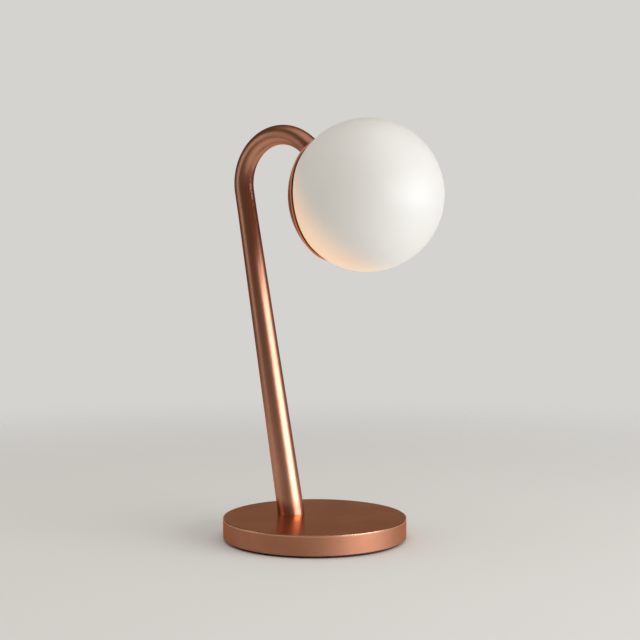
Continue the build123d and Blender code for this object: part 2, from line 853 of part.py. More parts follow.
def main():
    os.makedirs("parts", exist_ok=True)
    save("foot_pad", make_foot_pad())
    save("base_shell", make_base_shell())
    save("bottom_plate", make_bottom_plate())
    save("bottom_plate_screws", make_plate_screws())
    save("base_weight", make_base_weight())
    save("cord_grommet", make_cord_grommet())
    save("terminal_block", make_terminal_block())
    save("terminal_clamps", make_terminal_clamps())
    save("terminal_screws", make_terminal_screws())
    save("terminal_fixing_screws", make_terminal_fixing_screws())
    save("earth_lug", make_earth_lug())
    save("earth_screw", make_earth_screw())
    save("earth_wire", make_earth_wire())
    save("stem", make_stem())
    save("foot_insert", make_foot_insert())
    save("foot_nipple", make_foot_nipple())
    save("foot_washer", make_foot_washer())
    save("foot_lock_washer", make_foot_lock_washer())
    save("foot_nut", make_foot_nut())
    save("live_wire", make_lamp_wire(0, -wire_spread))
    save("neutral_wire", make_lamp_wire(1, wire_spread))
    save("head_dish", make_head_dish())
    save("wire_bush", make_wire_bush())
    save("carrier_pillars", make_carrier_pillars())
    save("carrier_plate", make_carrier_plate())
    save("carrier_screws", make_carrier_screws())
    save("holder_bracket", make_holder_bracket())
    save("bracket_screws", make_bracket_screws())
    save("bracket_nuts", make_bracket_nuts())
    save("lampholder", make_lampholder())
    save("lampholder_contacts", make_lampholder_contacts())
    save("bulb_base", make_bulb_base())
    save("bulb_pins", make_bulb_pins())
    save("bulb_cover", make_bulb_cover())
    save("bulb_board", make_bulb_board())
    save("bulb_leds", make_bulb_leds())
    save("globe", make_globe())
    save("globe_ring", make_globe_ring())
    save("globe_bond", make_globe_bond())
    save("globe_seal", make_globe_seal())


main()
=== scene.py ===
import json
import math

import bmesh
import bpy
from bpy.props import FloatProperty, FloatVectorProperty, PointerProperty
from mathutils import Matrix, Vector


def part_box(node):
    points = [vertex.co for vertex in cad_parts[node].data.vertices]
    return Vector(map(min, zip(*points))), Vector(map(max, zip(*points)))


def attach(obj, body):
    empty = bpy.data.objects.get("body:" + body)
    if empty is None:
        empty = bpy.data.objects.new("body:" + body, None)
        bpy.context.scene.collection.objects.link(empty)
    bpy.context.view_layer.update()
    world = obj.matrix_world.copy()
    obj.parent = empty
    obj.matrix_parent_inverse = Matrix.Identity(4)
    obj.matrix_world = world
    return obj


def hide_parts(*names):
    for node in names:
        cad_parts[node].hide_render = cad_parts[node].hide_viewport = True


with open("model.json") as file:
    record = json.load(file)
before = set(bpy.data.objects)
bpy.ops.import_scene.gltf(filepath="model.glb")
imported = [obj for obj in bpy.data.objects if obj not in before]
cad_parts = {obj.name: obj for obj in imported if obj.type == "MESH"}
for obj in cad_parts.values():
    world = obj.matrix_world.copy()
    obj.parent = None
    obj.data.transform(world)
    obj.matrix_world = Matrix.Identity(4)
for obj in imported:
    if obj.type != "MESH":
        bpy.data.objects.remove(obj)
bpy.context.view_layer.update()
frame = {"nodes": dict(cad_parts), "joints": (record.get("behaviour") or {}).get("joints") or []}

bl_info = {
    "name": "Glass globe table lamp",
    "version": (1, 0, 0),
    "blender": (4, 5, 0),
    "location": "3D View > Sidebar > Table lamp",
    "description": "Builds a copper table lamp with an opal glass globe on its weighted foot",
    "category": "Add Mesh",
}

# Metres, +Z up. The origin is the centre of the foot, on the table. The stem leans back
# towards -X, and its arc and the globe come forward towards +X, in the plane Y = 0.

# ---------------------------------------------------------------- places from the frame

_, pad_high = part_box("foot_pad")
_, cover_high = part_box("base_shell")
dish_low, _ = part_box("head_dish")
globe_low, globe_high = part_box("globe")

cover_radius = cover_high.y
cover_top = cover_high.z
pad_radius = pad_high.y
globe_radius = (globe_high.y - globe_low.y) / 2
globe_centre = Vector((globe_high.x - globe_radius, 0, (globe_high.z + globe_low.z) / 2))
dish_radius = globe_centre.x - dish_low.x
globe_axis = Vector(next(j["axis"] for j in frame["joints"] if j["name"] == "globe_turn"))

# The head's own frame, at the globe's centre. Local X rises, local Y is level, and local Z runs
# to the globe's front.
head_side = Vector((0, -1, 0))
head_frame = Matrix((head_side.cross(globe_axis), head_side, globe_axis)).transposed()
head_turn = head_frame.to_euler()
head_place = Matrix.Translation(globe_centre) @ head_frame.to_4x4()

ring_segments = 128      # round the stem
globe_segments = 160     # round the globe's axis
globe_rings = 110        # from pole to pole
arc_steps = 72           # along the stem's arc
taper_steps = 12         # along the straight stem
foot_overrun = 0.006     # stem runs this far into the cover before it is cut off flush
hairline = 0.00015       # rounding of the tube's ends, which leaves a thin dark line on the cover
merge_distance = 0.00001
sharp_angle = math.radians(50)


# ---------------------------------------------------------------- what a user would change

class LampSizes(bpy.types.PropertyGroup):
    """Sizes of the pieces that are drawn here"""

    stem_foot_x: FloatProperty(
        name="Stem foot", description="Where the stem's axis meets the foot, along X",
        default=-0.0238, subtype="DISTANCE", unit="LENGTH")
    stem_lean: FloatProperty(
        name="Stem lean", description="Angle of the straight stem, back from upright",
        default=math.radians(10.2), subtype="ANGLE", unit="ROTATION")
    stem_length: FloatProperty(
        name="Stem length", description="Straight length from the foot to the arc",
        default=0.269, subtype="DISTANCE", unit="LENGTH")
    stem_foot_radius: FloatProperty(
        name="Radius at the foot", description="Stem's radius where it stands on the foot",
        default=0.011, subtype="DISTANCE", unit="LENGTH")
    stem_radius: FloatProperty(
        name="Radius in the arc", description="Stem's radius from the start of the arc on",
        default=0.008, subtype="DISTANCE", unit="LENGTH")
    stem_plain: FloatProperty(
        name="Untapered length", description="Straight length of one radius below the arc",
        default=0.018, subtype="DISTANCE", unit="LENGTH")
    stem_wall: FloatProperty(
        name="Tube wall", description="Wall of the stem's tube",
        default=0.0015, subtype="DISTANCE", unit="LENGTH")
    arch_radius: FloatProperty(
        name="Arc radius", description="Radius of the arc, on the tube's axis",
        default=0.0396, subtype="DISTANCE", unit="LENGTH")
    head_dip: FloatProperty(
        name="Head dip", description="How far below level the arc ends",
        default=math.radians(34.5), subtype="ANGLE", unit="ROTATION")
    neck_length: FloatProperty(
        name="Neck", description="Straight run from the arc to the dish",
        default=0.0114, subtype="DISTANCE", unit="LENGTH")
    dish_wall: FloatProperty(
        name="Dish wall", description="Thickness of the dish",
        default=0.0015, subtype="DISTANCE", unit="LENGTH")
    dish_angle: FloatProperty(
        name="Dish rim", description="Half angle of the dish's rim, seen from the globe's centre",
        default=math.radians(50.4), subtype="ANGLE", unit="ROTATION")
    glass_wall: FloatProperty(
        name="Glass wall", description="Thickness of the globe's glass",
        default=0.0025, subtype="DISTANCE", unit="LENGTH")
    glass_edge: FloatProperty(
        name="Glass edge", description="Fire-polished rounding of the globe's mouth",
        default=0.0006, subtype="DISTANCE", unit="LENGTH")
    mouth_angle: FloatProperty(
        name="Globe mouth", description="Half angle of the glass mouth, seen from the globe's centre",
        default=math.radians(49.5), subtype="ANGLE", unit="ROTATION")


class LampColours(bpy.types.PropertyGroup):
    """Colours of the finishes"""

    copper: FloatVectorProperty(
        name="Copper", description="Colour of the satin copper finish",
        default=(0.66, 0.325, 0.22), size=3, min=0, max=1, subtype="COLOR")
    opal: FloatVectorProperty(
        name="Opal glass", description="Colour of the satin opal glass",
        default=(0.58, 0.572, 0.56), size=3, min=0, max=1, subtype="COLOR")
    floor: FloatVectorProperty(
        name="Floor", description="Colour of the floor",
        default=(0.90, 0.885, 0.86), size=3, min=0, max=1, subtype="COLOR")
    backdrop: FloatVectorProperty(
        name="Backdrop", description="Colour of the backdrop",
        default=(0.66, 0.65, 0.63), size=3, min=0, max=1, subtype="COLOR")


# ---------------------------------------------------------------- node helpers

class NodeSheet:
    """Adds and links the nodes of one material, world or group."""

    def __init__(self, tree):
        self.tree = tree

    def add(self, kind, settings=None, **inputs):
        """New node. Settings are its own options, inputs are values or sockets to link from."""
        node = self.tree.nodes.new(kind)
        for name, value in (settings or {}).items():
            setattr(node, name, value)
        for name, value in inputs.items():
            self.feed(node.inputs[name.replace("_", " ")], value)
        return node

    def feed(self, socket, value):
        if isinstance(value, bpy.types.NodeSocket):
            self.tree.links.new(value, socket)
        else:
            socket.default_value = value

    def operate(self, kind, operation, values):
        node = self.add(kind, {"operation": operation})
        for socket, value in zip(node.inputs, values):
            self.feed(socket, value)
        return node.outputs

    def math(self, operation, *values):
        return self.operate("ShaderNodeMath", operation, values)[0]

    def vector_math(self, operation, *values):
        """Outputs of a vector operation: Vector, or Value for a length or a dot product."""
        return self.operate("ShaderNodeVectorMath", operation, values)

    def length(self, first, second):
        """Length of a line whose two parts stand at a right angle."""
        squares = [self.math("MULTIPLY", part, part) for part in (first, second)]
        return self.math("SQRT", self.math("ADD", *squares))

    def ramp(self, value, low, high):
        """0 at low, 1 at high, smooth between them. High may be the smaller number."""
        node = self.add("ShaderNodeMapRange", {"interpolation_type": "SMOOTHSTEP"}, Value=value)
        self.feed(node.inputs["From Min"], low)
        self.feed(node.inputs["From Max"], high)
        return node.outputs["Result"]

    def mix(self, factor, first, second, blend="MIX"):
        """Lay a second colour over a first one by a factor. Each is a value or a socket."""
        node = self.add("ShaderNodeMix", {"data_type": "RGBA", "blend_type": blend})
        self.feed(node.inputs[0], factor)
        for socket, value in ((node.inputs[6], first), (node.inputs[7], second)):
            self.feed(socket, value if isinstance(value, bpy.types.NodeSocket) else (*value, 1))
        return node.outputs[2]


def new_material(name):
    """Empty node material with a Principled BSDF: returns the material, its sheet and the shader."""
    material = bpy.data.materials.new(name)
    material.use_nodes = True
    material.node_tree.nodes.clear()
    sheet = NodeSheet(material.node_tree)
    shader = sheet.add("ShaderNodeBsdfPrincipled")
    output = sheet.add("ShaderNodeOutputMaterial")
    sheet.feed(output.inputs["Surface"], shader.outputs["BSDF"])
    return material, sheet, shader


# ---------------------------------------------------------------- effects that materials share

def new_group(name, numbers, results):
    """Empty shader group that reads a Vector and some numbers, and puts out others.

    Returns it, its sheet, and the sockets inside that it reads and fills.
    """
    group = bpy.data.node_groups.new(name, "ShaderNodeTree")
    group.interface.new_socket("Vector", in_out="INPUT", socket_type="NodeSocketVector")
    for label in numbers:
        group.interface.new_socket(label, in_out="INPUT", socket_type="NodeSocketFloat")
    for label in results:
        group.interface.new_socket(label, in_out="OUTPUT", socket_type="NodeSocketFloat")
    sheet = NodeSheet(group)
    return group, sheet, sheet.add("NodeGroupInput").outputs, sheet.add("NodeGroupOutput").inputs


def surface_mottle():
    """Soft clouds and fine grain of a surface, each from 0 to 1."""
    group, sheet, given, result = new_group(
        "surface_mottle", ("Cloud Scale", "Grain Scale"), ("Cloud", "Grain"))
    vector = given["Vector"]
    cloud = sheet.add(
        "ShaderNodeTexNoise", Vector=vector, Scale=given["Cloud Scale"], Detail=3.0, Roughness=0.55)
    grain = sheet.add(
        "ShaderNodeTexNoise", Vector=vector, Scale=given["Grain Scale"], Detail=2.0, Roughness=0.6)
    sheet.feed(result["Cloud"], sheet.ramp(cloud.outputs["Fac"], 0.32, 0.68))
    sheet.feed(result["Grain"], sheet.ramp(grain.outputs["Fac"], 0.25, 0.75))
    return group


def hairline_scuffs():
    """Short thin scratches in patches, as handling leaves them."""
    wander = (0.008, 0.008, 0.008)       # how far a scratch strays from a straight line
    scratch_width = 0.03                 # share of a cell's size
    patch_scale = 0.6                    # against the scale of the scratches
    patch_edge = (0.52, 0.64)            # noise at which a patch starts, and is full
    group, sheet, given, result = new_group("hairline_scuffs", ("Scale", "Amount"), ("Mask",))
    vector = given["Vector"]
    scale = given["Scale"]
    bent = sheet.add("ShaderNodeTexNoise", Vector=vector, Scale=scale, Detail=1.0).outputs["Color"]
    shifted = sheet.vector_math("MULTIPLY_ADD", bent, wander, vector)["Vector"]
    cells = sheet.add("ShaderNodeTexVoronoi", {"feature": "DISTANCE_TO_EDGE"}, Vector=shifted, Scale=scale)
    line = sheet.ramp(cells.outputs["Distance"], scratch_width, 0.0)
    patch = sheet.add(
        "ShaderNodeTexNoise", Vector=vector, Scale=sheet.math("MULTIPLY", scale, patch_scale), Detail=2.0)
    marked = sheet.math("MULTIPLY", line, sheet.ramp(patch.outputs["Fac"], *patch_edge))
    sheet.feed(result["Mask"], sheet.math("MULTIPLY", marked, given["Amount"]))
    return group


def rim_band():
    """1 on a circle round the local Z axis, fading to 0 at Width from it."""
    group, sheet, given, result = new_group("rim_band", ("Radius", "Height", "Width"), ("Mask",))
    place = sheet.add("ShaderNodeSeparateXYZ", Vector=given["Vector"]).outputs
    across = sheet.math("SUBTRACT", sheet.length(place["X"], place["Y"]), given["Radius"])
    along = sheet.math("SUBTRACT", place["Z"], given["Height"])
    share = sheet.math("DIVIDE", sheet.length(across, along), given["Width"])
    sheet.feed(result["Mask"], sheet.ramp(share, 1.0, 0.0))
    return group


effects = {"surface_mottle": surface_mottle, "hairline_scuffs": hairline_scuffs, "rim_band": rim_band}


def place_effect(sheet, name, **inputs):
    """The shared group, built on first use, placed in a material with its own values."""
    group = bpy.data.node_groups.get(name) or effects[name]()
    return sheet.add("ShaderNodeGroup", {"node_tree": group}, **inputs).outputs


def object_place(sheet, centre=(0, 0, 0), turn=(0, 0, 0)):
    """Object coordinates, seen from a piece's own centre and turn."""
    place = sheet.add("ShaderNodeTexCoord").outputs["Object"]
    mapping = sheet.add(
        "ShaderNodeMapping", {"vector_type": "TEXTURE"}, Vector=place, Location=centre, Rotation=turn)
    return mapping.outputs["Vector"]


# ---------------------------------------------------------------- finishes

scuff_dulls = 0.15       # roughness that a full scuff adds
rub_polishes = 0.10      # roughness that the brightened rim loses
rub_in_hollows = 0.4     # share of the rubbing and painted highlight that reaches the hollows of the grain
rim_rub_and_highlight = 0.0016        # width of the brightened line on a copper edge: partly from handling, partly a painted highlight
foot_rub_and_highlight = 0.004        # width of the same brightened line where the stem stands on the foot


def finish(name, colour, shade, roughness, metallic=0.0, cloud=60, grain=1800, relief=0.3, depth=0.00006,
           spread=0.10, scuffs=0.0, scuff_scale=160, rub_and_highlight_band=None, rub_and_highlight_colour=None, centre=(0, 0, 0), turn=(0, 0, 0),
           gloss=0.5):
    """Two drifting tones with grain and scuffs, and a rim brightened by handling and by a painted highlight.

    Cloud and grain are the scales of the drift and of the relief, depth is the relief's height,
    and spread is how far the roughness varies. The band argument gives the radius, height and width
    of a band round the piece's own axis; there the surface takes the second colour and gets smoother,
    partly from handling and partly as a painted highlight.
    """
    material, sheet, shader = new_material(name)
    vector = object_place(sheet, centre, turn)
    mottle = place_effect(
        sheet, "surface_mottle", Vector=vector, Cloud_Scale=float(cloud), Grain_Scale=float(grain))
    tone = sheet.mix(mottle["Cloud"], colour, shade)
    rough = sheet.math("MULTIPLY_ADD", mottle["Grain"], spread, roughness - spread / 2)
    rough = sheet.math("MULTIPLY_ADD", mottle["Cloud"], spread / 2, rough)
    height = mottle["Grain"]
    if scuffs:
        scuff = place_effect(
            sheet, "hairline_scuffs", Vector=vector, Scale=float(scuff_scale), Amount=scuffs)["Mask"]
        rough = sheet.math("MULTIPLY_ADD", scuff, scuff_dulls, rough)
        height = sheet.math("SUBTRACT", height, scuff)
    if rub_and_highlight_band:
        band = place_effect(
            sheet, "rim_band", Vector=vector, Radius=rub_and_highlight_band[0], Height=rub_and_highlight_band[1], Width=rub_and_highlight_band[2])["Mask"]
        # the band turns brighter and smoother: partly from handling, partly a painted highlight
        reached = sheet.math("MULTIPLY_ADD", mottle["Grain"], 1 - rub_in_hollows, rub_in_hollows)
        rub_and_highlight_mask = sheet.math("MULTIPLY", band, reached)
        tone = sheet.mix(rub_and_highlight_mask, tone, rub_and_highlight_colour)
        rough = sheet.math("MULTIPLY_ADD", rub_and_highlight_mask, -rub_polishes, rough)
    bump = sheet.add("ShaderNodeBump", Height=height, Strength=relief, Distance=depth)
    sheet.feed(shader.inputs["Base Color"], tone)
    sheet.feed(shader.inputs["Roughness"], rough)
    sheet.feed(shader.inputs["Normal"], bump.outputs["Normal"])
    shader.inputs["Metallic"].default_value = metallic
    shader.inputs["Specular IOR Level"].default_value = gloss
    return material, sheet, shader


def shared_finish(name, *tones, **settings):
    """A finish that pieces of several operators share, made on first use."""
    return bpy.data.materials.get(name) or finish(name, *tones, **settings)[0]


def tint_over(sheet, shader, mask, colour, blend="MIX"):
    """Lay a second colour over a finish, where the mask is 1."""
    base = shader.inputs["Base Color"].links[0].from_socket
    sheet.feed(shader.inputs["Base Color"], sheet.mix(mask, base, colour, blend))


def relief_over(sheet, shader, height, strength, distance):
    """Add a second relief to the one a finish has."""
    first = shader.inputs["Normal"].links[0].from_socket
    bump = sheet.add("ShaderNodeBump", Height=height, Strength=strength, Distance=distance, Normal=first)
    sheet.feed(shader.inputs["Normal"], bump.outputs["Normal"])


def let_light_in(shader, weight, distance):
    """Light enters a pale material and comes out this far away."""
    shader.inputs["Subsurface Weight"].default_value = weight
    shader.inputs["Subsurface Scale"].default_value = distance


def darker(colour, shares):
    return tuple(value * share for value, share in zip(colour, shares))


def satin_copper(name, rub_and_highlight_band, centre=(0, 0, 0), turn=(0, 0, 0)):
    """Satin copper plating: warm clouds, fine grain, an edge brightened by handling and painted highlight."""
    colour = tuple(bpy.context.scene.lamp_colours.copper)
    shade = darker(colour, (0.95, 0.91, 0.88))
    # bright edge tone: partly from handling, partly a painted highlight
    rub_and_highlight_tone = (0.84, 0.52, 0.38)
    material, sheet, shader = finish(
        name, colour, shade, roughness=0.37, metallic=1.0, cloud=38, grain=3200, relief=0.10,
        depth=0.00003, spread=0.05, scuffs=0.12, scuff_scale=70, rub_and_highlight_band=rub_and_highlight_band, rub_and_highlight_colour=rub_and_highlight_tone,
        centre=centre, turn=turn)
    shader.inputs["Specular Tint"].default_value = (0.95, 0.60, 0.42, 1)
    return material, sheet, shader


def foot_copper():
    """The foot's copper: smoother on top, rougher on its turned side, and darker there with painted shade."""
    top_ends = cover_top - 0.0004
    side_starts = cover_top - 0.0022
    top_smoother = 0.07
    side_rougher = 0.13
    # painted shade: shares by which the turned side's colour is made darker
    side_painted_shade = (0.76, 0.72, 0.66)
    # the rim of the top is brightened: partly from handling, partly a painted highlight
    material, sheet, shader = satin_copper("foot_copper", (cover_radius, cover_top, rim_rub_and_highlight))
    height = sheet.add("ShaderNodeSeparateXYZ", Vector=object_place(sheet)).outputs["Z"]
    side = sheet.ramp(height, top_ends, side_starts)
    rough = shader.inputs["Roughness"].links[0].from_socket
    change = sheet.math("MULTIPLY_ADD", side, top_smoother + side_rougher, -top_smoother)
    sheet.feed(shader.inputs["Roughness"], sheet.math("ADD", rough, change))
    # painted shade on the turned side
    tint_over(sheet, shader, side, side_painted_shade, blend="MULTIPLY")
    return material


def bright_zinc():
    """Zinc plating of the small steel parts: bluish grey with dull clouds."""
    return shared_finish(
        "bright_zinc", (0.62, 0.63, 0.65), (0.50, 0.52, 0.53), roughness=0.34, metallic=1.0, cloud=240,
        grain=2600, scuffs=0.5, scuff_scale=220)


def cast_iron():
    """Raw casting: dark skin with a sand-rough relief and rust in the low places."""
    return finish(
        "cast_iron", (0.055, 0.052, 0.050), (0.110, 0.062, 0.036), roughness=0.72, metallic=0.4, cloud=90,
        grain=700, relief=0.8, depth=0.0004, spread=0.2)[0]


def turned_brass():
    """Brass of the turned parts: yellow, with tarnished clouds and fine scratches."""
    return shared_finish(
        "turned_brass", (0.78, 0.56, 0.22), (0.58, 0.38, 0.14), roughness=0.28, metallic=1.0, cloud=300,
        grain=3200, scuffs=0.4, scuff_scale=300)


def stamped_bronze():
    """Bronze strip of the contacts: reddish, with small brown clouds."""
    return finish(
        "stamped_bronze", (0.72, 0.50, 0.28), (0.52, 0.32, 0.17), roughness=0.30, metallic=1.0, cloud=420,
        grain=3600)[0]


def turned_aluminium():
    """Lathe-turned aluminium: fine rings round the globe's axis."""
    material, sheet, shader = finish(
        "turned_aluminium", (0.78, 0.78, 0.79), (0.68, 0.69, 0.70), roughness=0.30, metallic=1.0, cloud=120,
        grain=2400, centre=globe_centre, turn=head_turn)
    vector = object_place(sheet, globe_centre, head_turn)
    rings = sheet.add(
        "ShaderNodeTexWave", {"bands_direction": "Z"}, Vector=vector, Scale=420.0, Distortion=0.6, Detail=1.0)
    relief_over(sheet, shader, rings.outputs["Fac"], strength=0.25, distance=0.00004)
    return material


def moulded(name, colour, roughness, relief=0.25, gloss=0.5):
    """Moulded or extruded plastic: spark-eroded grain and faint flow clouds."""
    return finish(
        name, colour, darker(colour, (0.86, 0.86, 0.86)), roughness, cloud=180, grain=3000, relief=relief,
        spread=0.08, gloss=gloss)[0]


def white_enamel():
    """Satin white reflector paint: orange peel, and yellowed a little in clouds."""
    return finish(
        "white_enamel", (0.86, 0.855, 0.83), (0.80, 0.79, 0.74), roughness=0.42, cloud=50, grain=900,
        relief=0.35, depth=0.00005, centre=globe_centre, turn=head_turn)[0]


def steatite():
    """Unglazed ceramic: chalky, with dark specks."""
    material, sheet, shader = finish(
        "steatite", (0.82, 0.80, 0.74), (0.76, 0.73, 0.66), roughness=0.62, cloud=160, grain=2200, relief=0.4)
    cells = sheet.add("ShaderNodeTexVoronoi", Vector=object_place(sheet), Scale=900.0)
    speck = sheet.ramp(cells.outputs["Distance"], 0.14, 0.06)
    tint_over(sheet, shader, speck, (0.45, 0.41, 0.35))
    return material


def silicone():
    """Milky silicone: a little light gets into it."""
    material, _, shader = finish(
        "silicone", (0.80, 0.79, 0.76), (0.72, 0.71, 0.67), roughness=0.45, cloud=140, grain=1600, relief=0.3)
    let_light_in(shader, weight=0.3, distance=0.001)
    return material


def cell_rubber():
    """Dark cellular rubber of the foot's pad: small open cells, with painted shade in their hollows."""
    material, sheet, shader = finish(
        "cell_rubber", (0.030, 0.027, 0.024), (0.046, 0.042, 0.038), roughness=0.85, cloud=70, grain=1400,
        spread=0.1, gloss=0.3)
    cells = sheet.add("ShaderNodeTexVoronoi", Vector=object_place(sheet), Scale=1100.0)
    wall = sheet.ramp(cells.outputs["Distance"], 0.15, 0.5)
    relief_over(sheet, shader, wall, strength=0.7, distance=0.0002)
    # painted shade: the hollows of the cells are darker
    tint_over(sheet, shader, sheet.math("SUBTRACT", 1.0, wall), (0.012, 0.011, 0.010))
    return material


def striped_green():
    """Green sheath with a yellow stripe along its upper side."""
    material, sheet, shader = finish(
        "striped_green", (0.07, 0.30, 0.06), (0.05, 0.24, 0.05), roughness=0.32, cloud=200, grain=2400,
        relief=0.15)
    facing = sheet.add("ShaderNodeNewGeometry").outputs["Normal"]
    rise = sheet.add("ShaderNodeSeparateXYZ", Vector=facing).outputs["Z"]
    tint_over(sheet, shader, sheet.ramp(rise, 0.45, 0.60), (0.80, 0.62, 0.04))
    return material


def frosted_plastic():
    """Bulb's frosted cover: white, faintly translucent."""
    material, _, shader = finish(
        "frosted_plastic", (0.86, 0.86, 0.85), (0.80, 0.80, 0.78), roughness=0.48, cloud=120, grain=2600,
        relief=0.2)
    let_light_in(shader, weight=0.4, distance=0.002)
    return material


def led_board():
    """White board with thin copper-coloured tracks under its lacquer."""
    material, sheet, shader = finish(
        "led_board", (0.84, 0.84, 0.82), (0.79, 0.79, 0.76), roughness=0.38, cloud=200, grain=2600,
        relief=0.2, centre=globe_centre, turn=head_turn)
    vector = object_place(sheet, globe_centre, head_turn)
    bricks = sheet.add(
        "ShaderNodeTexBrick", Vector=vector, Scale=260.0, Mortar_Size=0.03, Mortar_Smooth=0.2)
    tint_over(sheet, shader, bricks.outputs["Fac"], (0.62, 0.50, 0.34))
    return material


def phosphor_gel():
    """Yellow phosphor of the LED chips: grainy, glossy."""
    return finish(
        "phosphor_gel", (0.86, 0.62, 0.10), (0.76, 0.50, 0.06), roughness=0.25, cloud=500, grain=5000,
        relief=0.3)[0]


def opal_glass():
    """Satin opal glass, with painted light given out as emission, warmest low at the rear by the dish."""
    colour = tuple(bpy.context.scene.lamp_colours.opal)
    # painted light: an even emission all over stands in for light scattered through the glass, and a warm one
    # low at the rear stands in for light the copper dish throws back
    painted_glow_side = Vector((-0.54, 0, -0.84))     # from the globe's centre, in the head's own frame
    painted_glow_edge = (0.08, 0.72)                  # how far to that side, in radii, the warm painted light starts and is full
    painted_scatter_light = (0.245, 0.228, 0.200)
    painted_copper_light = (0.61, 0.375, 0.205)
    material, sheet, shader = finish(
        "opal_glass", colour, darker(colour, (0.975, 0.97, 0.96)), roughness=0.42, cloud=26, grain=1500,
        relief=0.10, depth=0.00003, spread=0.05, centre=globe_centre, turn=head_turn, gloss=0.36)
    vector = object_place(sheet, globe_centre, head_turn)
    reach = sheet.vector_math("DOT_PRODUCT", vector, painted_glow_side / globe_radius)["Value"]
    # painted light, given out as emission
    painted_glow = sheet.mix(sheet.ramp(reach, *painted_glow_edge), painted_scatter_light, painted_copper_light)
    sheet.feed(shader.inputs["Emission Color"], painted_glow)
    shader.inputs["Emission Strength"].default_value = 1.0
    let_light_in(shader, weight=0.25, distance=0.004)
    shader.inputs["Subsurface Radius"].default_value = (1.0, 0.9, 0.8)
    return material


# ---------------------------------------------------------------- mesh helpers

def new_object(name, data):
    """Object in the scene, at the origin."""
    made = bpy.data.objects.new(name, data)
    bpy.context.scene.collection.objects.link(made)
    return made


def mesh_object(name, bm, material):
    """Object from a finished bmesh."""
    mesh = bpy.data.meshes.new(name)
    bm.to_mesh(mesh)
    bm.free()
    mesh.materials.append(material)
    return new_object(name, mesh)


def new_piece(name, bm, material, body, slot, *nodes):
    """Smooth object that rides on a body and stands for the named CAD nodes."""
    piece = mesh_object(name, bm, material)
    piece.data.polygons.foreach_set("use_smooth", [True] * len(piece.data.polygons))
    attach(piece, body)
    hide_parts(*nodes)


def close_mesh(bm):
    """Merge the doubles at seams and poles, and turn all faces outwards."""
    bmesh.ops.remove_doubles(bm, verts=bm.verts, dist=merge_distance)
    bmesh.ops.recalc_face_normals(bm, faces=bm.faces)


def keep_front(bm, place, direction):
    """Cut the mesh at a plane and keep what lies on the side that direction points to."""
    everything = bm.verts[:] + bm.edges[:] + bm.faces[:]
    bmesh.ops.bisect_plane(bm, geom=everything, plane_co=place, plane_no=direction, clear_inner=True)


def thicken(bm, wall):
    """Give an open outer skin a wall on its inner side."""
    close_mesh(bm)
    bmesh.ops.solidify(bm, geom=bm.faces[:], thickness=wall)
    bmesh.ops.recalc_face_normals(bm, faces=bm.faces)


def round_sharp_edges(bm, width, segments):
    """Bevel the edges at which two faces meet by more than the sharp angle."""
    sharp = [e for e in bm.edges if len(e.link_faces) == 2 and e.calc_face_angle(0) > sharp_angle]
    bmesh.ops.bevel(
        bm, geom=sharp, offset=width, segments=segments, affect="EDGES", profile=0.5, material=-1,
        offset_type="OFFSET", clamp_overlap=True)


def grow_ring(bm, edges, step, new_radius, old_radius):
    """Extrude a ring of edges along a vector and bring it to a new radius."""
    grown = bmesh.ops.extrude_edge_only(bm, edges=edges)["geom"]
    ring = [item for item in grown if isinstance(item, bmesh.types.BMVert)]
    bmesh.ops.translate(bm, verts=ring, vec=step)
    centre = sum((v.co for v in ring), Vector()) / len(ring)
    factor = new_radius / old_radius
    bmesh.ops.scale(bm, verts=ring, vec=(factor,) * 3, space=Matrix.Translation(-centre))
    inside = set(ring)
    return [e for e in grown if isinstance(e, bmesh.types.BMEdge) and set(e.verts) <= inside]


def dress(material, *nodes):
    """Give CAD nodes a finish of their own."""
    for node in nodes:
        mesh = frame["nodes"][node].data
        mesh.materials.clear()
        mesh.materials.append(material)


# ---------------------------------------------------------------- stage

camera_place = Vector((0.7491, -1.0543, 0.2814))
camera_lens = 90.0                                   # millimetres, like the sensor's width
camera_sensor = 36.0
view_forward = Vector((-0.5747, 0.8146, -0.0785))    # direction in which the camera looks
view_level = Vector((view_forward.x, view_forward.y, 0)).normalized()
view_right = view_level.cross(Vector((0, 0, 1)))
softbox_target = Vector((0, 0, 0.15))

floor_radius = 1.6
floor_segments = 96
floor_fade = (0.95, 0.35)                            # from the foot: no floor, full floor
floor_opening = (pad_radius - 0.004, pad_radius - 0.002)


